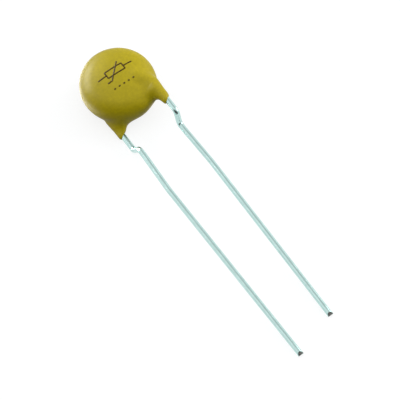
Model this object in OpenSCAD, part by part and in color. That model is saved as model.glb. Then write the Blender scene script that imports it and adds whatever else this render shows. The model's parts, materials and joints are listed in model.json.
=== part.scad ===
// A disc varistor with two wire leads: a zinc oxide disc with a silver electrode and a soldered
// lead on each face, dipped in epoxy that runs a little way down the leads.
// It lies as it comes to rest, on its back face and its lead ends, with the front face up (+Z)
// and the leads towards -Y. The origin is on the surface it lies on, under the middle of its box.

/* [Ceramic] */
// Diameter of the zinc oxide disc
ceramic_d = 6.8; // [6.2:0.1:9]
// Thickness of the zinc oxide disc
ceramic_t = 2.1; // [1.6:0.1:2.6]
// Diameter of the silver electrode on each face
electrode_d = 6; // [5:0.1:6.2]
// Thickness of each electrode
electrode_t = 0.05; // [0.03:0.01:0.1]

/* [Coating] */
// Cover beyond the edge of the ceramic disc
edge_cover = 0.5; // [0.4:0.05:0.8]
// Cover over the corner of the ceramic disc
corner_cover = 0.15; // [0.1:0.01:0.2]
// Cover over a lead at the middle of a face
face_cover = 0.45; // [0.35:0.05:0.8]
// Cover round a lead in the skirt below the disc
skirt_cover = 0.17; // [0.12:0.01:0.25]
// Cover left at the end of a skirt
tip_cover = 0.06; // [0.04:0.01:0.1]
// Length over which a skirt thins to its end
tip_run = 0.4; // [0.2:0.05:0.6]
// How far the front lead's skirt runs below the disc
front_skirt = 0.85; // [0.4:0.05:1.4]
// How far the back lead's skirt runs below the disc
back_skirt = 0.45; // [0.4:0.05:1.4]
// Slope of a skirt's end across its lead
tip_slant = 0.6; // [0:0.1:0.8]
// Width of the soft blend between disc and skirt on the outer side of a lead
skirt_blend = 1.2; // [0.8:0.05:1.6]
// Width of that blend between the leads
web_blend = 2.4; // [1.6:0.1:2.6]
// Distance over which it widens from the outer side to the inner
web_run = 0.9; // [0.6:0.1:1.4]
// Width of that blend on the faces
face_blend = 0.8; // [0.3:0.05:1]

/* [Leads] */
// Diameter of the tinned copper wire
lead_d = 0.6; // [0.5:0.01:0.7]
// Distance between the leads where they leave the coating
lead_pitch = 5.1; // [4.6:0.1:5.6]
// How far the pair of leads sits off the middle of the disc, towards the front lead
lead_shift = 0.1; // [-0.2:0.05:0.2]
// Length of wire laid across an electrode
inner_run = 3.6; // [3:0.1:4]
// Angle of that length to the rest of the lead
inner_slant = 35; // [25:1:40]
// Middle radius of the bend inside the coating
inner_bend_r = 0.8; // [0.6:0.05:1.2]
// Distance from the middle of the disc to where a lead turns straight
straight_from = 2.6; // [2.2:0.05:3]
// Distance from the middle of the disc to the middle of the kink
kink_at = 6.6; // [6:0.1:9]
// Angle of the kink
kink_angle = 62; // [45:1:70]
// Middle radius of the kink's bends
kink_r = 0.5; // [0.4:0.05:0.7]
// How far the kink sets a lead in from its line
kink_inset = 0.12; // [0.05:0.01:0.3]
// Angle by which the leads spread below the kink
spread_angle = 2.2; // [0.5:0.1:4]
// Length over which they spread
spread_run = 4.2; // [2:0.1:8]
// Middle radius of the bends that set the spread
spread_r = 5; // [3:0.5:10]
// Angle by which the front lead's tail leans back in
front_toe = 0.2; // [0.1:0.1:2]
// Angle by which the back lead's tail leans back in
back_toe = 0.9; // [0.1:0.1:2]
// Distance from the middle of the disc to the front lead's end
front_reach = 32.25; // [20:0.05:40]
// Distance from the middle of the disc to the back lead's end
back_reach = 33.95; // [20:0.05:40]
// Length that the cutter pinched at a lead's end
pinch_run = 0.3; // [0.1:0.05:0.5]
// Thickness left at the cut edge
pinch_edge = 0.14; // [0.08:0.01:0.3]

/* [Solder] */
// Solder between a lead and its electrode
solder_film = 0.05; // [0.03:0.01:0.1]
// Radius of the solder bead
solder_r = 0.6; // [0.5:0.01:0.64]
// Length of the slanted wire left bare at the electrode's edge
solder_gap = 0.8; // [0.5:0.1:1.2]

/* [Hidden] */
$fn = 48;

// Bends are drawn this much thinner than the runs and reach this far into them
bend_ease = 0.003;
bend_lap = 0.05;

lead_r = lead_d / 2;
electrode_z = ceramic_t / 2 + electrode_t;
lead_z = electrode_z + solder_film + lead_r;
lead_x = lead_pitch / 2;

// Section of the coated disc: a rim of one radius between two shallow domes
disc_r = ceramic_d / 2 + edge_cover;
half_t = lead_z + lead_r + face_cover;
corner_rim_r = (edge_cover ^ 2 + (ceramic_t / 2) ^ 2 - corner_cover ^ 2) / (2 * (edge_cover - corner_cover));
dome_rise = 0.3;
rim_r = min(corner_rim_r, half_t - dome_rise);
rim_at = disc_r - rim_r;
dome_r = (rim_at ^ 2 + half_t ^ 2 - rim_r ^ 2) / (2 * (half_t - rim_r));
dome_z = dome_r - half_t;

skirt_r = lead_r + skirt_cover;
front_tip = disc_r + front_skirt;
back_tip = disc_r + back_skirt;

// The blend widens from the faces to the skirts over this length, which starts this far above the
// place where a lead turns straight
blend_run = 1.4;
blend_lead = 0.8;

// The kink takes a lead from its face of the disc to the middle plane
kink_jog = norm([kink_inset, lead_z]);
kink_roll = atan2(-lead_z, -kink_inset);
kink_run = (kink_jog - 2 * kink_r * (1 - cos(kink_angle))) / sin(kink_angle);
kink_len = 2 * kink_r * sin(kink_angle) + kink_run * cos(kink_angle);
settle_run = 0.4;

module on_back() {
    rotate([0, 180, 0]) children();
}

module shifted(distance) {
    translate([distance, 0, 0]) children();
}

// Distance of a point from the coated disc's surface, less than 0 inside it
function disc_gap(p) =
    let (r = norm([p.x, p.y]), h = abs(p.z))
    r * dome_z < (h + dome_z) * rim_at ? norm([r, h + dome_z]) - dome_r : norm([r - rim_at, h]) - rim_r;

// Distance of a point from a line between two others
function line_gap(p, a, b) =
    let (t = (p - a) * (b - a) / ((b - a) * (b - a)))
    norm(p - a - max(0, min(1, t)) * (b - a));

function share(t) = max(0, min(1, t));
function soft_share(t) = (3 - 2 * share(t)) * share(t) ^ 2;

// Distance of a point from the cover on a lead on the front, whose skirt ends at tip
wire_turn = [lead_x, inner_bend_r * tan(inner_slant / 2) - straight_from, lead_z];
wire_end = wire_turn + inner_run / 2 * [-sin(inner_slant), cos(inner_slant), 0];
function skirt_gap(p, tip) =
    let (end = [lead_x, -2 * tip, lead_z])
    min(line_gap(p, end, wire_turn), line_gap(p, wire_turn, wire_end))
        - skirt_r + (skirt_cover - tip_cover) * share(1 - (p.y + tip) / tip_run) ^ 2;

// Two distances joined with a soft blend of some width in place of a sharp inner corner
function blend(a, b, width) =
    let (t = max(0, 1 - abs(a - b) / width))
    min(a, b) - width / 4 * t ^ 2;

// Width of the blend at a point near a lead on the front
function blend_width(p) =
    let (below = skirt_blend + (web_blend - skirt_blend) * soft_share(0.5 - (p.x - lead_x) / web_run))
    face_blend + (below - face_blend) * soft_share((blend_lead - straight_from - p.y) / blend_run);

// Distance of a point from the coating's skin, worked out as on the front for both leads
function skin_gap(p) =
    let (
        x = p.x - lead_shift,
        side = x * lead_x + p.z * lead_z > 0 ? 1 : -1,
        q = [side * x, p.y, side * p.z],
        off = max(-skirt_r, min(skirt_r, q.x - lead_x)),
        tip = (side > 0 ? front_tip : back_tip) - side * tip_slant * off)
    max(blend(disc_gap(p), skirt_gap(q, tip), blend_width(q)), -q.y - tip);

// The skin is found along rays from inside, one for each mark on a plane that lies below the disc and
// is wrapped round it. The marks are the square roots of points on rings, so they ring each skirt by
// itself near its end and both of them further up.
across = [lead_x, 0, lead_z] / norm([lead_x, lead_z]);
upright = [-lead_z, 0, lead_x] / norm([lead_x, lead_z]);
skirt_mark = norm([lead_x, lead_z]);
ray_from = [lead_shift, skirt_r, 0];
ray_reach = 8;
wrap = 2.5 * disc_r;
ring_sides = 32;
skirt_ring_count = 22;
disc_ring_count = 30;
skirt_rings = [for (i = [1 : skirt_ring_count]) skirt_mark ^ 2 * i / (skirt_ring_count + 0.5)];
disc_rings = [
    for (i = [0 : disc_ring_count - 1])
        let (angle = 5 + 175 * (i / disc_ring_count) ^ 1.3)
        skirt_mark ^ 2 + (wrap * tan(angle / 2)) ^ 2];

function ray_mark(ring, turn) =
    let (
        w = [skirt_mark ^ 2 + ring * cos(turn), ring * sin(turn)],
        half = abs(turn) == 180 && ring > skirt_mark ^ 2 ? sign(turn) * 90 : atan2(w.y, w.x) / 2)
    sqrt(norm(w)) * [cos(half), sin(half)];

// Direction of the ray to a place on the wrapped plane
function ray_dir(m) = (2 * m.x * across + 2 * m.y * upright + [0, m * m - 1, 0]) / (1 + m * m);

// Where a ray leaves the skin
function ray_hit(from, dir, near, far, steps = 30) =
    let (mid = (near + far) / 2)
    steps == 0 ? from + mid * dir
    : skin_gap(from + mid * dir) < 0 ? ray_hit(from, dir, mid, far, steps - 1)
    : ray_hit(from, dir, near, mid, steps - 1);

// The skin's point at a mark: each ray starts near the skirt on its own side
function skin_point(mark) =
    let (
        side = mark.x / (1 + mark * mark / wrap ^ 2),
        from = side / (1 + (side / skirt_mark) ^ 4) ^ 0.25)
    ray_hit(ray_from + from * across, ray_dir((mark - [from, 0]) / wrap), 0, ray_reach);

// The resting tilt, at which the back dome or the back skirt and the longer lead touch one flat surface
long_reach = max(front_reach, back_reach) - pinch_run;
rest_a = dome_z + lead_r;
dome_tilt = atan2(long_reach, rest_a) - acos(dome_r / norm([long_reach, rest_a]));
skirt_tilts = [
    for (x = [lead_x - 4 * lead_r : lead_r : lead_x + lead_r])
    for (y = [straight_from / 2 : lead_r / 2 : back_tip])
        let (low = ray_hit([lead_shift - x, -y, -lead_z], [0, 0, -1], 0, ray_reach))
        atan2(-low.z - lead_r, long_reach - y)];
rest_tilt = max(dome_tilt, max(skirt_tilts));
// The roll that brings a shorter front lead's end down to the surface too, about the back skirt's inner side
tail_x = lead_x - kink_inset;
rest_roll = asin(max(0, back_reach - front_reach) * sin(rest_tilt) / (2 * tail_x));
rest_lift = long_reach * sin(rest_tilt) + lead_r * cos(rest_tilt)
    - (tail_x - lead_shift - lead_r) * sin(rest_roll);
rest_top_y = rim_at * cos(rest_tilt) + rim_r;
rest_end_y = -max(front_reach, back_reach) * cos(rest_tilt);

module at_rest() {
    translate([0, -(rest_top_y + rest_end_y) / 2, rest_lift])
        rotate([rest_tilt, 0, 0]) rotate([0, rest_roll, 0]) children();
}

module skin() {
    n = ring_sides;
    turns = [for (j = [0 : n - 1]) let (u = 2 * j / n - 1) 180 * (0.4 * u + 0.6 * sin(90 * u))];
    skirt_points = [for (s = [1, -1]) for (k = skirt_rings) for (a = turns) skin_point(s * ray_mark(k, a))];
    disc_points = [for (k = disc_rings) for (s = [1, -1]) for (a = turns) skin_point(s * ray_mark(k, a))];
    top = skin_point([0, 1000 * wrap]);
    points = concat(skirt_points, disc_points, [top]);
    ns = len(skirt_rings);
    nd = len(disc_rings);
    d0 = 2 * n * ns;
    function skirt_id(s, i, j) = (s * ns + i) * n + j % n;
    function disc_id(i, j) = d0 + i * 2 * n + (j + 2 * n) % (2 * n);
    function quad(a, b, c, d) = [[a, b, c], [a, c, d]];
    faces = [
        for (s = [0, 1]) [for (j = [n - 1 : -1 : 0]) skirt_id(s, 0, j)],
        for (s = [0, 1]) for (i = [0 : ns - 2]) for (j = [0 : n - 1])
            each quad(skirt_id(s, i, j), skirt_id(s, i, j + 1),
                skirt_id(s, i + 1, j + 1), skirt_id(s, i + 1, j)),
        for (s = [0, 1]) for (j = [0 : n - 1])
            each quad(skirt_id(s, ns - 1, j), skirt_id(s, ns - 1, j + 1),
                disc_id(0, s * n + j + 1), disc_id(0, s * n + j)),
        each quad(skirt_id(0, ns - 1, 0), disc_id(0, 0), skirt_id(1, ns - 1, 0), disc_id(0, n)),
        for (i = [0 : nd - 2]) for (j = [0 : 2 * n - 1])
            each quad(disc_id(i, j), disc_id(i, j + 1), disc_id(i + 1, j + 1), disc_id(i + 1, j)),
        for (j = [0 : 2 * n - 1]) [disc_id(nd - 1, j), disc_id(nd - 1, j + 1), len(points) - 1]];
    polyhedron(points, faces);
}

// A wire as a bender makes it: straight runs, each but the last followed by a bend
// steps: [length, bend radius, bend angle, direction of the bend about the wire]
module bent_wire(steps, i = 0) {
    run = steps[i][0];
    radius = steps[i][1];
    angle = steps[i][2];
    roll = steps[i][3];
    if (i == len(steps) - 1) {
        pinched_run(run);
    } else {
        lap = bend_lap / radius * 180 / PI;
        cylinder(d = lead_d, h = run);
        translate([0, 0, run]) rotate([0, 0, roll]) translate([radius, 0, 0]) {
            rotate([90, 0, 0]) rotate([0, 0, 180 - angle - lap]) rotate_extrude(angle = angle + 2 * lap)
                translate([radius, 0]) circle(d = lead_d - 2 * bend_ease);
            rotate([0, angle, 0]) translate([-radius, 0, 0]) rotate([0, 0, -roll]) bent_wire(steps, i + 1);
        }
    }
}

// The last run of a lead, with its end pinched to an edge by the cutter
module pinched_run(run) {
    intersection() {
        cylinder(d = lead_d, h = run);
        rotate([90, 0, 90]) linear_extrude(2 * lead_d, center = true)
            polygon([
                [-lead_d, -lead_d], [lead_d, -lead_d], [lead_d, run - pinch_run], [lead_r, run - pinch_run],
                [pinch_edge / 2, run], [-pinch_edge / 2, run], [-lead_r, run - pinch_run],
                [-lead_d, run - pinch_run]]);
    }
}

// A lead on the front of the disc
module lead(reach, toe) {
    bend_out = inner_bend_r * (1 - cos(inner_slant));
    bend_up = inner_bend_r * sin(inner_slant);
    neck_run = kink_at - kink_len / 2 - straight_from;
    turned_y = kink_at + kink_len / 2 + settle_run + spread_run * cos(spread_angle)
        + spread_r * (2 * sin(spread_angle) + sin(toe));
    tail_run = (reach - turned_y) / cos(toe);
    translate([
        lead_x - bend_out - inner_run * sin(inner_slant),
        -straight_from + bend_up + inner_run * cos(inner_slant),
        lead_z])
        rotate([90, 0, inner_slant]) bent_wire([
            [inner_run, inner_bend_r, inner_slant, 180],
            [neck_run, kink_r, kink_angle, kink_roll],
            [kink_run, kink_r, kink_angle, kink_roll + 180],
            [settle_run, spread_r, spread_angle, 0],
            [spread_run, spread_r, spread_angle + toe, 180],
            [tail_run, 0, 0, 0]]);
}

// The electrode on the front of the disc
module electrode() {
    translate([0, 0, ceramic_t / 2]) cylinder(d = electrode_d, h = electrode_t);
}

// The solder bead along a lead on the front, which wets only the electrode
module solder(reach, toe, shift) {
    bead_run = inner_run - solder_gap;
    difference() {
        intersection() {
            translate([0, 0, electrode_z]) cylinder(d = electrode_d, h = 2 * solder_r);
            translate([
                shift + lead_x - inner_bend_r * (1 - cos(inner_slant)) - inner_run * sin(inner_slant),
                -straight_from + inner_bend_r * sin(inner_slant) + inner_run * cos(inner_slant),
                electrode_z])
                rotate([90, 0, inner_slant]) {
                    cylinder(r = solder_r, h = bead_run);
                    sphere(solder_r);
                    translate([0, 0, bead_run]) sphere(solder_r);
                }
        }
        shifted(shift) lead(reach, toe);
    }
}

module ceramic_disc() {
    color("#3b3d40") at_rest() cylinder(d = ceramic_d, h = ceramic_t, center = true);
}

module front_electrode() {
    color("#d9dadb") at_rest() electrode();
}

module back_electrode() {
    color("#d9dadb") at_rest() on_back() electrode();
}

module front_solder() {
    color("#a9adb0") at_rest() solder(front_reach, front_toe, lead_shift);
}

module back_solder() {
    color("#a9adb0") at_rest() on_back() solder(back_reach, back_toe, -lead_shift);
}

module front_lead() {
    color("#c3ccca") at_rest() shifted(lead_shift) lead(front_reach, front_toe);
}

module back_lead() {
    color("#c3ccca") at_rest() on_back() shifted(-lead_shift) lead(back_reach, back_toe);
}

module epoxy_coating() {
    color("#b8952c") at_rest() difference() {
        skin();
        cylinder(d = ceramic_d, h = ceramic_t, center = true);
        electrode();
        on_back() electrode();
        solder(front_reach, front_toe, lead_shift);
        on_back() solder(back_reach, back_toe, -lead_shift);
        shifted(lead_shift) lead(front_reach, front_toe);
        on_back() shifted(-lead_shift) lead(back_reach, back_toe);
    }
}

epoxy_coating();
ceramic_disc();
front_electrode();
back_electrode();
front_solder();
back_solder();
front_lead();
back_lead();
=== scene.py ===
"""Looks of a disc varistor: the dipped epoxy coating, the tinned leads and the ink mark on the face."""
import json
import math

import bpy
import numpy as np
from mathutils import Matrix, Vector

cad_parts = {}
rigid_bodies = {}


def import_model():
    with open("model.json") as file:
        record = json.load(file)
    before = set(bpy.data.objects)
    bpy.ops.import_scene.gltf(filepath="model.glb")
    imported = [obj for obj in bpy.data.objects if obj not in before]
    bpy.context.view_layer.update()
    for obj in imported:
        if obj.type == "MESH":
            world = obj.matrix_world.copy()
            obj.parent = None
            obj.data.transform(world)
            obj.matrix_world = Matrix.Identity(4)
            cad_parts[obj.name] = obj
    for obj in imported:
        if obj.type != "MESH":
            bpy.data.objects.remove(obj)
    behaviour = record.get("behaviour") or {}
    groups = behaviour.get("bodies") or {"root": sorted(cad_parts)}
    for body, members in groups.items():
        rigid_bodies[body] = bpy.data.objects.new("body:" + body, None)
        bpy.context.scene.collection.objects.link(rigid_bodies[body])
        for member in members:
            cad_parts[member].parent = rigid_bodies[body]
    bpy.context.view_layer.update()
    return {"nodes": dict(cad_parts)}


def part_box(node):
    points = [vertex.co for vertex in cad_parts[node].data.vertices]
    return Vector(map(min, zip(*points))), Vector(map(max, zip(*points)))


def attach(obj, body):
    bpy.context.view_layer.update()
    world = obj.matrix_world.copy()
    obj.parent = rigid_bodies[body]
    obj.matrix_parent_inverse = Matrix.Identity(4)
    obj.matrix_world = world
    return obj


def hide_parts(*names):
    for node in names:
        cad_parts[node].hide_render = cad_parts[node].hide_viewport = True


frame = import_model()

# Sizes of the part, in millimetres and degrees, as its source has them
MM = 0.001
CERAMIC_D, CERAMIC_T = 6.8, 2.1
ELECTRODE_T, SOLDER_FILM = 0.05, 0.05
EDGE_COVER, CORNER_COVER, FACE_COVER = 0.5, 0.15, 0.45
DOME_RISE = 0.3
SKIRT_COVER, TIP_COVER, TIP_RUN, TIP_SLANT = 0.17, 0.06, 0.4, 0.6
FRONT_SKIRT, BACK_SKIRT = 0.85, 0.45
SKIRT_BLEND, FACE_BLEND, WEB_RUN = 1.2, 0.8, 0.9
BLEND_FROM, BLEND_RUN = 1.8, 1.4
LEAD_D, LEAD_PITCH, LEAD_SHIFT = 0.6, 5.1, 0.1
INNER_RUN, INNER_SLANT, INNER_BEND_R = 3.6, 35.0, 0.8
STRAIGHT_FROM = 2.6
KINK_AT, KINK_ANGLE, KINK_R, KINK_INSET = 6.6, 62.0, 0.5, 0.12
SETTLE_RUN = 0.4
SPREAD_ANGLE, SPREAD_RUN, SPREAD_R = 2.2, 4.2, 5.0
FRONT_TOE, BACK_TOE = 0.2, 0.9
FRONT_REACH, BACK_REACH = 32.25, 33.95
PINCH_RUN, PINCH_EDGE = 0.3, 0.14

LEAD_R = LEAD_D / 2
LEAD_X = LEAD_PITCH / 2
LEAD_Z = CERAMIC_T / 2 + ELECTRODE_T + SOLDER_FILM + LEAD_R
DISC_R = CERAMIC_D / 2 + EDGE_COVER
HALF_T = LEAD_Z + LEAD_R + FACE_COVER
RIM_R = min((EDGE_COVER ** 2 + (CERAMIC_T / 2) ** 2 - CORNER_COVER ** 2) / (2 * (EDGE_COVER - CORNER_COVER)),
            HALF_T - DOME_RISE)

# The dip as the eye sees it: drawn in more tightly round the skirts than its solid, with a sag and a bead of
# coating between them, ragged tips with a soft edge, and an uneven surface that is sunk a hair into the solid
FRONT_WEB, BACK_WEB, SAG = 1.95, 1.75, 0.1
BEAD_AT, BEAD_R, BEAD_RISE = (0.6, -3.8, 0.8), 0.75, 0.2
TIP_EDGE, TIP_RAGGED, TIP_WAVES_PER_MM = 0.06, 0.06, 1.6
UNEVEN, BODY_WAVES_PER_MM, SINK = 0.03, 0.33, 0.01

# The box in which the skin is found, its grid, and how often its points are drawn to the true surface
SKIN_LOW, SKIN_HIGH = (-4.4, -5.4, -2.7), (4.4, 4.2, 2.7)
SKIN_STEP, SKIN_PASSES = 0.06, 3

# The wires' meshes: points on a straight run, degrees between the points of a bend, and sides of the wire
RUN_POINTS, PINCH_POINTS, BEND_STEP, BEND_POINTS_MIN = 24, 8, 4.0, 4
WIRE_SIDES, SHARP_ANGLE = 40, 32.0
# The cut is on the tail beyond this distance from the disc's middle, and its edge is this wide
TAIL_FROM, CUT_EDGE, TINY = 20.0, 0.02, 1e-6

# The ink mark, about the middle of the face: a box on a wire, a slash with a foot, and a row of dots
SIGN_X, SIGN_Y, SIGN_REACH, BOX_REACH, BOX_RISE = 0.1, 0.5, 2.0, 1.0, 0.36
SLASH_X, SLASH_REACH, SLASH_FOOT = 0.05, 0.8, 0.5
DOTS_Y, DOT_STEP, DOT_REACH, DOTS_BESIDE = -1.15, 0.55, 0.1, 2
STROKE, INK_FILM, STROKE_STEP = 0.15, 0.012, 0.08
# The ink is dropped onto the face from this height in metres, and falls at most this far
DROP_FROM, DROP_RUN = 0.02, 0.05

# The camera: its turn about the disc and its height above the disc's face in degrees, its distance in metres,
# and the place of the picture's middle in millimetres across and up from the disc's
VIEW_TURN, VIEW_HEIGHT, VIEW_AWAY = -35.4, 66.0, 0.5
PICTURE_X, PICTURE_Y = 8.115, -11.43
PX_PER_MM, PICTURE_PX, SENSOR_MM = 10.08, 400, 36.0
CLIP_NEAR, CLIP_FAR = 0.01, 10.0

# The floor in metres, and its greys: for rays that only carry light, then its shade and glow where it shows
FLOOR_REACH, FLAT_LIFT = 1.0, 0.00005
FLOOR_BOUNCE, FLOOR_SHADE, FLOOR_GLOW = 0.06, 0.25, 0.8

# Glows of the dome: degrees clockwise from the top of the picture and above the floor, the cosines at which
# the glow starts and is full, and the strengths before and after
SKY_TINT = (0.95, 0.98, 1.0)
SKY = {"turn": 5.0, "height": 60.0, "reach": (0.1, 0.6), "strength": (0.0, 1.05)}
VIEWER_SIDE = {"turn": 180.0, "height": 0.0, "reach": (0.2, 0.7), "strength": (1.0, 0.1)}
OVERHEAD = {"turn": 15.0, "height": 62.0, "reach": (0.86, 0.98), "strength": (1.0, 0.62)}

# A face of the CAD disc whose normal rises more than this is its upper one
UPPER_FACE = 0.9
# Most of a noise lies between these
NOISE_LOW, NOISE_HIGH = 0.3, 0.7


def place_of_disc():
    """The turn of the disc as it rests and the place of its middle, read off the CAD disc."""
    low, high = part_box("ceramic_disc")
    upper = [f for f in frame["nodes"]["ceramic_disc"].data.polygons if f.normal.z > UPPER_FACE]
    facing = sum((f.normal * f.area for f in upper), Vector()).normalized()
    tilt, roll = math.atan2(-facing.y, facing.z), math.asin(facing.x)
    lie = Matrix.Rotation(tilt, 4, "X") @ Matrix.Rotation(roll, 4, "Y")
    return lie, Matrix.Translation((low + high) / 2)


# LIE turns the disc as it rests, and PLACE takes millimetres about its middle to the part's frame
LIE, MIDDLE = place_of_disc()
PLACE = MIDDLE @ LIE @ Matrix.Scale(MM, 4)


# Node trees

def add_node(tree, kind, links=(), **settings):
    """A node with its settings made, and each input in links joined to a socket or given a plain value."""
    made = tree.nodes.new(kind)
    for key, value in settings.items():
        setattr(made, key, value)
    for slot, source in dict(links).items():
        if isinstance(source, Field):
            source = source.socket
        if isinstance(source, bpy.types.NodeSocket):
            tree.links.new(source, made.inputs[slot])
        else:
            made.inputs[slot].default_value = source
    return made


def grey(value):
    return value, value, value


class Field:
    """A number that Math nodes work out at every point of a Geometry Nodes tree."""

    def __init__(self, tree, socket):
        self.tree, self.socket = tree, socket

    def math(self, operation, *others):
        made = add_node(self.tree, "ShaderNodeMath", enumerate((self, *others)), operation=operation)
        return Field(self.tree, made.outputs[0])

    def __add__(self, other):
        return self.math("ADD", other)

    def __sub__(self, other):
        return self.math("SUBTRACT", other)

    def __mul__(self, other):
        return self.math("MULTIPLY", other)

    def __truediv__(self, other):
        return self.math("DIVIDE", other)

    def __neg__(self):
        return self.math("MULTIPLY", -1.0)

    def __lt__(self, other):
        return self.math("LESS_THAN", other)

    def __gt__(self, other):
        return self.math("GREATER_THAN", other)

    def min(self, other):
        return self.math("MINIMUM", other)

    def max(self, other):
        return self.math("MAXIMUM", other)

    def abs(self):
        return self.math("ABSOLUTE")

    def sqrt(self):
        return self.math("SQRT")

    def share(self):
        """Held between 0 and 1."""
        return self.max(0.0).min(1.0)

    def smooth(self):
        """A share that starts and ends softly."""
        return (-self * 2.0 + 3.0) * self * self


def length(*fields):
    """The length of the vector that has these parts."""
    total = fields[0] * fields[0]
    for f in fields[1:]:
        total = total + f * f
    return total.sqrt()


def rounding(a, b, width):
    """How far a soft blend of that width departs from the sharp edge where two surfaces meet."""
    near = (-(a - b).abs() / width + 1.0).share()
    return width * near * near * 0.25


class Tree:
    """A Geometry Nodes tree with named inputs, whose result is turned into a plain mesh."""

    def __init__(self, name, inputs):
        self.group = bpy.data.node_groups.new(name, "GeometryNodeTree")
        face = self.group.interface
        face.new_socket("Geometry", in_out="INPUT", socket_type="NodeSocketGeometry")
        face.new_socket("Geometry", in_out="OUTPUT", socket_type="NodeSocketGeometry")
        self.ids = {}
        for label, kind in inputs.items():
            made = face.new_socket(label, in_out="INPUT", socket_type="NodeSocket" + kind)
            self.ids[label] = made.identifier
        self.start = self.group.nodes.new("NodeGroupInput")
        self.end = self.group.nodes.new("NodeGroupOutput")

    def node(self, kind, links=(), **settings):
        return add_node(self.group, kind, links, **settings)

    def given(self, label):
        """The socket of a named input."""
        return self.start.outputs[label]

    def size(self, label):
        """A named input as a number to work with."""
        return Field(self.group, self.given(label))

    def close(self, geometry):
        """End the tree with real, smooth and painted geometry."""
        real = self.node("GeometryNodeRealizeInstances", {"Geometry": geometry})
        smooth = self.node("GeometryNodeSetShadeSmooth", {"Geometry": real.outputs[0]})
        painted = self.node("GeometryNodeSetMaterial", {
            "Geometry": smooth.outputs[0], "Material": self.given("Material")})
        self.group.links.new(painted.outputs[0], self.end.inputs[0])

    def run(self, mesh, values):
        """The plain mesh that the tree makes of a mesh, with its inputs set."""
        maker = bpy.data.objects.new(self.group.name, mesh)
        bpy.context.scene.collection.objects.link(maker)
        modifier = maker.modifiers.new("nodes", "NODES")
        modifier.node_group = self.group
        for label, value in values.items():
            modifier[self.ids[label]] = value
        seen = maker.evaluated_get(bpy.context.evaluated_depsgraph_get())
        made = bpy.data.meshes.new_from_object(seen)
        maker.modifiers.remove(modifier)
        bpy.data.objects.remove(maker)
        return made


def polyline_mesh(name, lines):
    """A mesh of bare edges that runs through each line's points."""
    points, edges = [], []
    for line in lines:
        first = len(points)
        points += [tuple(p) for p in line]
        edges += [(first + i, first + i + 1) for i in range(len(line) - 1)]
    mesh = bpy.data.meshes.new(name)
    mesh.from_pydata(points, edges, [])
    return mesh


def piece(name, mesh, slot, *nodes):
    """A finished piece at the origin, which rides on the part."""
    made = bpy.data.objects.new(name, mesh)
    bpy.context.scene.collection.objects.link(made)
    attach(made, "root")
    if nodes:
        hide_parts(*nodes)
    return made


# Materials: noise scales are per metre, and those along a wire per millimetre

class Paint:
    """A procedural material on a Principled shader."""

    def __init__(self, name, **sockets):
        self.made = bpy.data.materials.new(name)
        self.made.use_nodes = True
        self.tree = self.made.node_tree
        self.shader = next(n for n in self.tree.nodes if n.type == "BSDF_PRINCIPLED")
        for key, value in sockets.items():
            self.shader.inputs[key.replace("_", " ")].default_value = value
        self.here = self.node("ShaderNodeTexCoord").outputs["Object"]

    def node(self, kind, links=(), **settings):
        return add_node(self.tree, kind, links, **settings)

    def set(self, socket, source):
        """Join one of the shader's sockets."""
        self.tree.links.new(source, self.shader.inputs[socket])

    def attribute(self, name, output="Fac"):
        return self.node("ShaderNodeAttribute", attribute_name=name).outputs[output]

    def noise(self, scale, detail=3.0, roughness=0.55, vector=None):
        links = {"Vector": vector or self.here, "Scale": scale, "Detail": detail, "Roughness": roughness}
        return self.node("ShaderNodeTexNoise", links).outputs["Fac"]

    def ramp(self, fac, *stops):
        """Two colours, each at its place on the way from 0 to 1."""
        made = self.node("ShaderNodeValToRGB", {"Fac": fac})
        for stop, (at, colour) in zip(made.color_ramp.elements, stops):
            stop.position = at
            stop.color = (*colour, 1.0)
        return made.outputs["Color"]

    def mix(self, fac, a, b, blend_type="MIX"):
        """Two colours, at the Mix node's colour sockets."""
        made = self.node("ShaderNodeMix", {0: fac, 6: a, 7: b}, data_type="RGBA", blend_type=blend_type)
        return made.outputs[2]

    def range(self, value, low, high, to_low, to_high):
        links = {"Value": value, "From Min": low, "From Max": high, "To Min": to_low, "To Max": to_high}
        return self.node("ShaderNodeMapRange", links).outputs["Result"]

    def spread(self, noise, low, high):
        """A noise spread over the values from low to high."""
        return self.range(noise, NOISE_LOW, NOISE_HIGH, low, high)

    def math(self, operation, *values):
        return self.node("ShaderNodeMath", enumerate(values), operation=operation).outputs[0]

    def bump(self, height, distance, strength):
        links = {"Height": height, "Distance": distance, "Strength": strength}
        self.set("Normal", self.node("ShaderNodeBump", links).outputs["Normal"])


def epoxy_paint():
    """Dipped ochre epoxy: a soft gloss, cloudy pigment, a faint orange peel and a few dark grains."""
    p = Paint("ochre_epoxy", IOR=1.5, Specular_IOR_Level=0.2)
    deep, pale, grain_brown = (0.425, 0.333, 0.002), (0.475, 0.372, 0.003), (0.07, 0.05, 0.008, 1.0)
    clouds = p.ramp(p.noise(420, 4.0, 0.6), (0.3, deep), (0.7, pale))
    fine = p.ramp(p.noise(3800, 2.0), (0.35, grey(0.94)), (0.65, grey(1.05)))
    tone = p.mix(1.0, clouds, fine, "MULTIPLY")
    cells = p.node("ShaderNodeTexVoronoi", {"Vector": p.here, "Scale": 700.0}, feature="F1").outputs
    lot = p.node("ShaderNodeSeparateColor", {"Color": cells["Color"]}).outputs[0]
    rare = p.math("GREATER_THAN", lot, 0.93)
    grain = p.math("MULTIPLY", rare, p.range(cells["Distance"], 0.06, 0.1, 0.8, 0.0))
    p.set("Base Color", p.mix(grain, tone, grain_brown))
    p.set("Roughness", p.spread(p.noise(900), 0.42, 0.50))
    p.bump(p.noise(1500, 2.0), 0.00001, 0.35)
    return p.made


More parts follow.
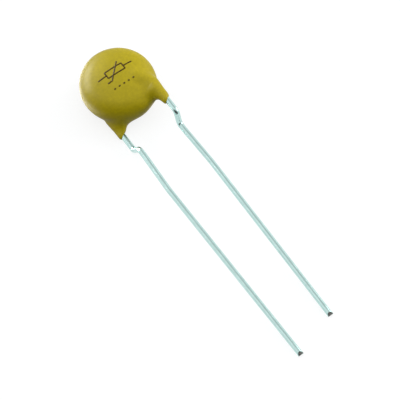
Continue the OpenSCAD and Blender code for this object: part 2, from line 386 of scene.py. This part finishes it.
def wire_paint():
    """Bright tin on drawn copper wire: fine draw lines, a cloudy bloom, and cut flats that are rougher and
    carry painted shade.
    """
    p = Paint("tinned_copper_wire", Metallic=1.0)
    dull_tin, bright_tin = (0.51, 0.71, 0.68), (0.60, 0.82, 0.79)
    cut_shade_dark, cut_shade_pale = (0.05, 0.055, 0.052), (0.30, 0.31, 0.29)
    along, cut = p.attribute("along"), p.attribute("cut")
    round_it = p.node("ShaderNodeSeparateXYZ", {"Vector": p.attribute("girth", "Vector")}).outputs

    def on_wire(lengthwise):
        links = {"X": round_it[0], "Y": round_it[1], "Z": lengthwise}
        return p.node("ShaderNodeCombineXYZ", links).outputs[0]

    lines = p.noise(9.0, 3.0, 0.6, on_wire(p.math("MULTIPLY", along, 0.12)))
    bloom = p.noise(1.1, 3.0, 0.6, on_wire(along))
    tin = p.ramp(bloom, (0.3, dull_tin), (0.7, bright_tin))
    tin = p.mix(1.0, tin, p.ramp(lines, (0.3, grey(0.9)), (0.7, grey(1.0))), "MULTIPLY")
    # Painted shade: the cut flats get a noisy dark grey in place of their metal's colour. Their extra
    # roughness below is real.
    cut_painted_shade = p.ramp(p.noise(5000), (0.35, cut_shade_dark), (0.65, cut_shade_pale))
    p.set("Base Color", p.mix(cut, tin, cut_painted_shade))
    p.set("Roughness", p.math("ADD", p.spread(lines, 0.14, 0.24), p.math("MULTIPLY", cut, 0.3)))
    p.bump(lines, 0.000004, 0.2)
    return p.made


def ink_paint():
    """Dark brown marking ink, a little thin in places."""
    p = Paint("marking_ink", Specular_IOR_Level=0.1)
    thick, thin = (0.055, 0.03, 0.002), (0.11, 0.065, 0.004)
    p.set("Base Color", p.ramp(p.noise(5200), (0.35, thick), (0.7, thin)))
    p.set("Roughness", p.spread(p.noise(2600, 2.0), 0.38, 0.52))
    return p.made


def ceramic_paint():
    """Fired zinc oxide: dark grey with a fine sintered grain."""
    p = Paint("fired_zinc_oxide")
    core, border = (0.05, 0.055, 0.06), (0.028, 0.03, 0.033)
    grains = p.node("ShaderNodeTexVoronoi", {"Vector": p.here, "Scale": 9000.0}).outputs["Distance"]
    p.set("Base Color", p.ramp(grains, (0.1, core), (0.7, border)))
    p.set("Roughness", p.spread(p.noise(2500), 0.55, 0.75))
    p.bump(grains, 0.000004, 0.6)
    return p.made


def silver_paint():
    """Screen-printed silver, fired matt."""
    p = Paint("fired_silver", Metallic=1.0)
    dull, bright = (0.66, 0.65, 0.62), (0.8, 0.79, 0.77)
    p.set("Base Color", p.ramp(p.noise(3200, 4.0), (0.3, dull), (0.7, bright)))
    p.set("Roughness", p.spread(p.noise(7000, 2.0), 0.42, 0.6))
    p.bump(p.noise(11000, 2.0), 0.000003, 0.6)
    return p.made


def solder_paint():
    """Solder that has frozen dull, with a bright patch here and there."""
    p = Paint("frozen_solder", Metallic=1.0)
    dull, bright = (0.42, 0.43, 0.44), (0.62, 0.63, 0.64)
    p.set("Base Color", p.ramp(p.noise(1500, 4.0), (0.3, dull), (0.7, bright)))
    p.set("Roughness", p.spread(p.noise(2400), 0.25, 0.5))
    p.bump(p.noise(3500), 0.000008, 0.5)
    return p.made


# The coating: a lens and a cover on each lead, joined by a soft blend and cut off at the tips

COATING = {
    "Disc radius": DISC_R, "Rim radius": RIM_R, "Half thickness": HALF_T,
    "Sag": SAG, "Bead radius": BEAD_R, "Bead rise": BEAD_RISE,
    "Lead x": LEAD_X, "Lead z": LEAD_Z, "Lead shift": LEAD_SHIFT, "Cover radius": LEAD_R + SKIRT_COVER,
    "Turn y": INNER_BEND_R * math.tan(math.radians(INNER_SLANT / 2)) - STRAIGHT_FROM,
    "Slant run": INNER_RUN / 2,
    "Slant sine": math.sin(math.radians(INNER_SLANT)), "Slant cosine": math.cos(math.radians(INNER_SLANT)),
    "Front tip": DISC_R + FRONT_SKIRT, "Back tip": DISC_R + BACK_SKIRT, "Tip slant": TIP_SLANT,
    "Tip thinning": SKIRT_COVER - TIP_COVER, "Tip run": TIP_RUN, "Tip edge": TIP_EDGE, "Ragged": TIP_RAGGED,
    "Skirt blend": SKIRT_BLEND, "Face blend": FACE_BLEND, "Blend from": -BLEND_FROM, "Blend run": BLEND_RUN,
    "Front web": FRONT_WEB, "Back web": BACK_WEB, "Web run": WEB_RUN, "Uneven": UNEVEN, "Sink": SINK}


def lens_gap(s, x, y, z):
    """How far a point is outside the bare lens, which has a dome on each face and a round rim."""
    rim_r, half_t = s["Rim radius"], s["Half thickness"]
    rim_at = s["Disc radius"] - rim_r
    dome_r = (rim_at * rim_at + half_t * half_t - rim_r * rim_r) / ((half_t - rim_r) * 2.0)
    dome_z = dome_r - half_t
    r, h = length(x, y), z.abs()
    on_dome = r * dome_z < (h + dome_z) * rim_at
    rim = length(r - rim_at, h) - rim_r
    dome = length(r, h + dome_z) - dome_r
    return rim + (dome - rim) * on_dome


def coating_tree():
    """The skin is where the gap is 0: it is found on a grid, and its points are then drawn to it."""
    inputs = {**{label: "Float" for label in COATING},
              "Bead place": "Vector", "Low": "Vector", "High": "Vector",
              "Steps x": "Int", "Steps y": "Int", "Steps z": "Int", "Material": "Material"}
    t = Tree("dipped_coating", inputs)
    s = {label: t.size(label) for label in COATING}
    here = t.node("GeometryNodeInputPosition").outputs[0]
    x, y, z = (Field(t.group, out) for out in t.node("ShaderNodeSeparateXYZ", {"Vector": here}).outputs)

    def waves(scale, detail):
        made = t.node("ShaderNodeTexNoise", {"Vector": here, "Scale": scale, "Detail": detail})
        return Field(t.group, made.outputs["Fac"]) * 2.0 - 1.0

    # the lens, with its sag and bead
    hang = (-y / s["Disc radius"]).share()
    apart = t.node("ShaderNodeVectorMath", {0: here, 1: t.given("Bead place")}, operation="DISTANCE")
    apart = Field(t.group, apart.outputs["Value"]) / s["Bead radius"]
    bead = s["Bead rise"] * (-apart * apart).math("EXPONENT")
    disc = lens_gap(s, x, y, z) - s["Sag"] * hang * hang - bead

    # the cover on the nearer lead: its straight run, and its slanted run over the disc
    from_middle = x - s["Lead shift"]
    front = from_middle * s["Lead x"] + z * s["Lead z"] > 0.0
    side = front * 2.0 - 1.0
    dx, dy, dz = from_middle * side - s["Lead x"], y - s["Turn y"], z * side - s["Lead z"]
    straight = length(dx, dz, dy.max(0.0))
    run = dy * s["Slant cosine"] - dx * s["Slant sine"]
    off = dy * s["Slant sine"] + dx * s["Slant cosine"]
    slanted = length(off, dz, run - run.max(0.0).min(s["Slant run"]))
    across = dx.max(-s["Cover radius"]).min(s["Cover radius"]) * side
    tip = s["Back tip"] + (s["Front tip"] - s["Back tip"]) * front - across * s["Tip slant"]
    tip = tip + waves(TIP_WAVES_PER_MM, 1.0) * s["Ragged"]
    end = (-(y + tip) / s["Tip run"] + 1.0).share()
    skirt = straight.min(slanted) - s["Cover radius"] + s["Tip thinning"] * end * end

    # the two joined by a blend that is wide between the skirts, narrower outside them and narrow on the face
    low = ((s["Blend from"] - y) / s["Blend run"]).share()
    inner = (-dx / s["Web run"] + 0.5).share().smooth()
    web = s["Back web"] + (s["Front web"] - s["Back web"]) * front
    width = s["Skirt blend"] + (web - s["Skirt blend"]) * inner
    width = s["Face blend"] + (width - s["Face blend"]) * low.smooth()
    body = disc.min(skirt) - rounding(disc, skirt, width)
    body = body + waves(BODY_WAVES_PER_MM, 2.0) * s["Uneven"] + s["Sink"]
    below = -(y + tip)
    gap = body.max(below) + rounding(body, below, s["Tip edge"])

    cloud = t.node("GeometryNodeVolumeCube", {
        "Density": -gap, "Background": -1.0, "Min": t.given("Low"), "Max": t.given("High"),
        "Resolution X": t.given("Steps x"), "Resolution Y": t.given("Steps y"),
        "Resolution Z": t.given("Steps z")})
    skin = t.node("GeometryNodeVolumeToMesh", {"Volume": cloud.outputs[0], "Threshold": 0.0}).outputs[0]
    normal = t.node("GeometryNodeInputNormal").outputs[0]
    pull = t.node("ShaderNodeVectorMath", {0: normal, "Scale": -gap}, operation="SCALE").outputs[0]
    for _ in range(SKIN_PASSES):
        skin = t.node("GeometryNodeSetPosition", {"Geometry": skin, "Offset": pull}).outputs[0]
    t.close(skin)
    return t


def make_coating(paint):
    steps = [round((high - low) / SKIN_STEP) for low, high in zip(SKIN_LOW, SKIN_HIGH)]
    mesh = coating_tree().run(bpy.data.meshes.new("coating_start"), {
        **COATING, "Bead place": BEAD_AT, "Low": SKIN_LOW, "High": SKIN_HIGH,
        "Steps x": steps[0], "Steps y": steps[1], "Steps z": steps[2], "Material": paint})
    mesh.transform(PLACE)
    return piece("epoxy_skin", mesh, "epoxy", "epoxy_coating")


# The leads: one drawn wire each, bent along the same runs as the CAD lead

def lead_line(toe, reach):
    """Points along the front lead, in millimetres about the disc's middle, and the direction of its tail."""
    jog = math.hypot(KINK_INSET, LEAD_Z)
    kink = math.radians(KINK_ANGLE)
    kink_run = (jog - 2 * KINK_R * (1 - math.cos(kink))) / math.sin(kink)
    kink_len = 2 * KINK_R * math.sin(kink) + kink_run * math.cos(kink)
    kink_roll = math.degrees(math.atan2(-LEAD_Z, -KINK_INSET))
    slant, spread, toe = math.radians(INNER_SLANT), math.radians(SPREAD_ANGLE), math.radians(toe)
    turned = (KINK_AT + kink_len / 2 + SETTLE_RUN + SPREAD_R * math.sin(spread)
              + SPREAD_RUN * math.cos(spread) + SPREAD_R * (math.sin(spread) + math.sin(toe)))
    tail_run = (reach - turned) / math.cos(toe)
    # each run is followed by a bend of a radius and an angle, to the side that its roll gives
    steps = [(INNER_RUN, INNER_BEND_R, slant, 180),
             (KINK_AT - kink_len / 2 - STRAIGHT_FROM, KINK_R, kink, kink_roll),
             (kink_run, KINK_R, kink, kink_roll + 180),
             (SETTLE_RUN, SPREAD_R, spread, 0),
             (SPREAD_RUN, SPREAD_R, spread + toe, 180),
             (tail_run - PINCH_RUN, 0, 0, 0)]
    at = Vector((LEAD_X - INNER_BEND_R * (1 - math.cos(slant)) - INNER_RUN * math.sin(slant),
                 INNER_BEND_R * math.sin(slant) + INNER_RUN * math.cos(slant) - STRAIGHT_FROM, LEAD_Z))
    ahead = Vector((math.sin(slant), -math.cos(slant), 0))
    points = [at.copy()]
    for run, radius, angle, roll in steps:
        points += [at + ahead * run * i / RUN_POINTS for i in range(1, RUN_POINTS + 1)]
        at = points[-1].copy()
        if not angle:
            continue
        inward = Vector((math.cos(math.radians(roll)), 0, math.sin(math.radians(roll))))
        inward = (inward - ahead * inward.dot(ahead)).normalized()
        count = max(BEND_POINTS_MIN, round(math.degrees(angle) / BEND_STEP))
        for i in range(1, count + 1):
            a = angle * i / count
            points.append(at + ahead * radius * math.sin(a) + inward * radius * (1 - math.cos(a)))
        at = points[-1].copy()
        ahead = ahead * math.cos(angle) + inward * math.sin(angle)
    points += [at + ahead * PINCH_RUN * i / PINCH_POINTS for i in range(1, PINCH_POINTS + 1)]
    return points, ahead


def wire_tree():
    """A round wire along a line, which knows the distance along it and the place round it."""
    t = Tree("drawn_wire", {"Radius": "Float", "Sides": "Int", "Material": "Material"})

    def store(geometry, name, value, data_type):
        links = {"Geometry": geometry, "Name": name, "Value": value}
        made = t.node("GeometryNodeStoreNamedAttribute", links, data_type=data_type, domain="POINT")
        return made.outputs[0]

    path = t.node("GeometryNodeMeshToCurve", {"Mesh": t.given("Geometry")}).outputs[0]
    path = store(path, "along", t.node("GeometryNodeSplineParameter").outputs["Length"], "FLOAT")
    ring = t.node("GeometryNodeCurvePrimitiveCircle", {
        "Resolution": t.given("Sides"), "Radius": t.given("Radius")}).outputs[0]
    here = t.node("GeometryNodeInputPosition").outputs[0]
    per_radius = t.size("Radius").math("POWER", -1.0)
    turn = t.node("ShaderNodeVectorMath", {0: here, "Scale": per_radius}, operation="SCALE").outputs[0]
    ring = store(ring, "girth", turn, "FLOAT_VECTOR")
    wire = t.node("GeometryNodeCurveToMesh", {"Curve": path, "Profile Curve": ring, "Fill Caps": True})
    t.close(wire.outputs[0])
    return t


def make_lead(tree, name, node, toe, reach, turned, paint):
    """A lead with its pinched end. The one on the back is the front one turned about the lead's direction."""
    line, ahead = lead_line(toe, reach)
    values = {"Radius": LEAD_R, "Sides": WIRE_SIDES, "Material": paint}
    mesh = tree.run(polyline_mesh(name + "_line", [line]), values)
    co = np.zeros(len(mesh.vertices) * 3)
    mesh.vertices.foreach_get("co", co)
    co = co.reshape(-1, 3)
    # the cutter leaves two flats that meet in a short edge across the wire
    end, ahead = np.array(line[-1]), np.array(ahead)
    thin = np.array((0, 0, 1)) - ahead * ahead[2]
    thin /= np.linalg.norm(thin)
    left, height = (end - co) @ ahead, (co - end) @ thin
    at_end = (left < PINCH_RUN + TINY) & (co[:, 1] < -TAIL_FROM)
    limit = PINCH_EDGE / 2 + (LEAD_R - PINCH_EDGE / 2) * left / PINCH_RUN
    over = np.where(at_end, np.abs(height) - limit, 0)
    co -= (np.maximum(over, 0) * np.sign(height))[:, None] * thin
    # The flats are marked as cut, where the wire's material puts painted shade and more roughness.
    cut = np.where(at_end, np.clip(over / CUT_EDGE + (left < CUT_EDGE), 0, 1), 0)
    mesh.vertices.foreach_set("co", co.ravel())
    mesh.attributes.new("cut", "FLOAT", "POINT").data.foreach_set("value", cut.astype(np.float32))
    face = Matrix.Rotation(math.pi if turned else 0, 4, "Y")
    mesh.transform(PLACE @ Matrix.Translation((LEAD_SHIFT, 0, 0)) @ face)
    mesh.set_sharp_from_angle(angle=math.radians(SHARP_ANGLE))
    return piece(name, mesh, "tinned_wire", node)


# The ink mark: the plain circuit sign of a varistor over a row of dots, laid on the curved face

def mark_lines():
    left, right = SIGN_X - BOX_REACH, SIGN_X + BOX_REACH
    low, high = SIGN_Y - BOX_RISE, SIGN_Y + BOX_RISE
    wires = [[(SIGN_X - SIGN_REACH, SIGN_Y), (left, SIGN_Y)],
             [(right, SIGN_Y), (SIGN_X + SIGN_REACH, SIGN_Y)]]
    box = [(left, low), (right, low), (right, high), (left, high), (left, low)]
    foot = (SLASH_X - SLASH_REACH, SIGN_Y - SLASH_REACH)
    slash = [(foot[0] - SLASH_FOOT, foot[1]), foot, (SLASH_X + SLASH_REACH, SIGN_Y + SLASH_REACH)]
    across = [SIGN_X + DOT_STEP * i for i in range(-DOTS_BESIDE, DOTS_BESIDE + 1)]
    dots = [[(x - DOT_REACH, DOTS_Y), (x + DOT_REACH, DOTS_Y)] for x in across]
    return [*wires, box, slash, *dots]


def mark_tree():
    """Flat strokes of ink along lines, dropped onto the face."""
    t = Tree("ink_strokes", {"Stroke": "Float", "Film": "Float", "Step": "Float", "Face": "Object",
                             "Material": "Material"})
    path = t.node("GeometryNodeMeshToCurve", {"Mesh": t.given("Geometry")}).outputs[0]
    path = t.node("GeometryNodeResampleCurve", {"Curve": path, "Length": t.given("Step")}, mode="LENGTH")
    profile = t.node("GeometryNodeCurvePrimitiveQuadrilateral", {
        "Width": t.given("Stroke"), "Height": t.given("Film")})
    strip = t.node("GeometryNodeCurveToMesh", {
        "Curve": path.outputs[0], "Profile Curve": profile.outputs[0], "Fill Caps": True})
    face = t.node("GeometryNodeObjectInfo", {"Object": t.given("Face")}).outputs["Geometry"]
    here = t.node("GeometryNodeInputPosition").outputs[0]
    x, y, z = t.node("ShaderNodeSeparateXYZ", {"Vector": here}).outputs
    above = t.node("ShaderNodeCombineXYZ", {"X": x, "Y": y, "Z": DROP_FROM}).outputs[0]
    hit = t.node("GeometryNodeRaycast", {"Target Geometry": face, "Source Position": above,
                                         "Ray Direction": (0, 0, -1), "Ray Length": DROP_RUN})
    film = t.node("ShaderNodeCombineXYZ", {"Z": z}).outputs[0]
    laid = t.node("ShaderNodeVectorMath", {0: hit.outputs["Hit Position"], 1: film}, operation="ADD")
    strip = t.node("GeometryNodeSetPosition", {"Geometry": strip.outputs[0], "Position": laid.outputs[0]})
    t.close(strip.outputs[0])
    return t


def make_mark(skin, paint):
    middle = PLACE.translation
    lines = [[(middle.x + x * MM, middle.y + y * MM, 0) for x, y in line] for line in mark_lines()]
    mesh = mark_tree().run(polyline_mesh("mark_lines", lines), {
        "Stroke": STROKE * MM, "Film": INK_FILM * MM, "Step": STROKE_STEP * MM,
        "Face": skin, "Material": paint})
    return piece("ink_mark", mesh, "epoxy")


# The stage: a white floor, a dome of light, soft panels and a camera at the photograph's angle

def toward(turn, height):
    """A direction: degrees clockwise from the top of the picture, and degrees above the floor."""
    turn, height = math.radians(turn - VIEW_TURN), math.radians(height)
    return Vector((math.sin(turn) * math.cos(height), math.cos(turn) * math.cos(height), math.sin(height)))


def shown_rays(tree):
    """1 for the rays that show the white surroundings: those of the camera, of gloss and of glass."""
    path = add_node(tree, "ShaderNodeLightPath").outputs
    total = path["Is Camera Ray"]
    for other in ("Is Glossy Ray", "Is Transmission Ray"):
        total = add_node(tree, "ShaderNodeMath", {0: total, 1: path[other]}, operation="MAXIMUM").outputs[0]
    return total


def pick_shown(tree, plain, shown):
    """One shader for the rays that carry light, and another for those that show the surroundings."""
    links = {0: shown_rays(tree), 1: plain.outputs[0], 2: shown.outputs[0]}
    return add_node(tree, "ShaderNodeMixShader", links).outputs[0]


def make_floor():
    far = FLOOR_REACH
    mesh = bpy.data.meshes.new("floor")
    mesh.from_pydata([(-far, -far, 0), (far, -far, 0), (far, far, 0), (-far, far, 0)], [], [(0, 1, 2, 3)])
    floor = bpy.data.objects.new("floor", mesh)
    bpy.context.scene.collection.objects.link(floor)
    made = bpy.data.materials.new("white_floor")
    made.use_nodes = True
    tree = made.node_tree
    tree.nodes.clear()
    plain = add_node(tree, "ShaderNodeBsdfDiffuse", {"Color": (*grey(FLOOR_BOUNCE), 1.0)})
    soft = add_node(tree, "ShaderNodeBsdfDiffuse", {"Color": (*grey(FLOOR_SHADE), 1.0)})
    glow = add_node(tree, "ShaderNodeEmission", {"Color": (*grey(FLOOR_GLOW), 1.0)})
    white = add_node(tree, "ShaderNodeAddShader", {0: soft.outputs[0], 1: glow.outputs[0]})
    add_node(tree, "ShaderNodeOutputMaterial", {"Surface": pick_shown(tree, plain, white)})
    mesh.materials.append(made)


def make_panel(name, turn, distance, width, height, glow, diffuse=True, glossy=True, flat=False):
    """A soft panel that stands on the floor and faces the part, or lies flat on the floor."""
    data = bpy.data.lights.new(name, "AREA")
    data.shape = "RECTANGLE"
    data.size, data.size_y = width, height
    data.energy = glow * math.pi * width * height
    light = bpy.data.objects.new(name, data)
    bpy.context.scene.collection.objects.link(light)
    away = toward(turn, 0)
    light.location = MIDDLE.translation + away * distance
    light.location.z = FLAT_LIFT if flat else height / 2
    turned = Matrix.Rotation(math.atan2(-away.x, away.y), 4, "Z")
    light.rotation_euler = (turned @ Matrix.Rotation(math.radians(180 if flat else -90), 4, "X")).to_euler()
    light.visible_camera = False
    light.visible_diffuse, light.visible_glossy = diffuse, glossy


def glow_toward(tree, turn, height, reach, strength):
    """A strength that changes as a ray turns to the given direction."""
    ray = add_node(tree, "ShaderNodeTexCoord").outputs["Generated"]
    links = {0: ray, 1: toward(turn, height)}
    facing = add_node(tree, "ShaderNodeVectorMath", links, operation="DOT_PRODUCT").outputs["Value"]
    links = {"Value": facing, "From Min": reach[0], "From Max": reach[1],
             "To Min": strength[0], "To Max": strength[1]}
    return add_node(tree, "ShaderNodeMapRange", links, interpolation_type="SMOOTHSTEP").outputs["Result"]


def make_dome():
    """A soft dome of light, bright from above and behind the part, and the white room that gloss shows."""
    world = bpy.data.worlds.new("studio")
    bpy.context.scene.world = world
    world.use_nodes = True
    tree = world.node_tree
    tree.nodes.clear()
    sky = add_node(tree, "ShaderNodeBackground", {
        "Color": (*SKY_TINT, 1.0), "Strength": glow_toward(tree, **SKY)})
    # the room is dim where the viewer stands and in a patch overhead
    links = {0: glow_toward(tree, **VIEWER_SIDE), 1: glow_toward(tree, **OVERHEAD)}
    dim = add_node(tree, "ShaderNodeMath", links, operation="MULTIPLY").outputs[0]
    room = add_node(tree, "ShaderNodeBackground", {"Color": (*grey(1.0), 1.0), "Strength": dim})
    add_node(tree, "ShaderNodeOutputWorld", {"Surface": pick_shown(tree, sky, room)})


def make_camera():
    scene = bpy.context.scene
    data = bpy.data.cameras.new("camera")
    data.sensor_width = SENSOR_MM
    data.lens = PX_PER_MM * VIEW_AWAY / MM * SENSOR_MM / PICTURE_PX
    data.clip_start, data.clip_end = CLIP_NEAR, CLIP_FAR
    camera = bpy.data.objects.new("camera", data)
    scene.collection.objects.link(camera)
    turn = Matrix.Rotation(math.radians(VIEW_TURN), 4, "Z")
    lean = Matrix.Rotation(math.radians(90 - VIEW_HEIGHT), 4, "X")
    shift = Matrix.Translation((PICTURE_X * MM, PICTURE_Y * MM, VIEW_AWAY))
    camera.matrix_world = MIDDLE @ LIE @ turn @ lean @ shift
    scene.camera = camera
    scene.view_settings.view_transform = "Standard"


def make_stage():
    make_floor()
    make_dome()
    make_panel("left_fill", turn=-92, distance=0.3, width=0.36, height=0.15, glow=2.2, glossy=False)
    make_panel("left_gloss", turn=-62, distance=0.3, width=0.28, height=0.28, glow=14.0, diffuse=False)
    make_panel("left_card", turn=-92, distance=0.0078, width=0.013, height=0.0065, glow=4.5,
               diffuse=False, flat=True)
    make_panel("right_panel", turn=68, distance=0.3, width=0.22, height=0.22, glow=3.6)
    make_camera()


def dress(node, paint):
    """Give a CAD node its material."""
    mesh = frame["nodes"][node].data
    mesh.materials.clear()
    mesh.materials.append(paint)


epoxy, wire = epoxy_paint(), wire_paint()
skin = make_coating(epoxy)
wires = wire_tree()
make_lead(wires, "front_wire", "front_lead", FRONT_TOE, FRONT_REACH, False, wire)
make_lead(wires, "back_wire", "back_lead", BACK_TOE, BACK_REACH, True, wire)
make_mark(skin, ink_paint())
silver, solder = silver_paint(), solder_paint()
for node, paint in (("ceramic_disc", ceramic_paint()), ("epoxy_coating", epoxy),
                    ("front_electrode", silver), ("back_electrode", silver),
                    ("front_solder", solder), ("back_solder", solder),
                    ("front_lead", wire), ("back_lead", wire)):
    dress(node, paint)
make_stage()
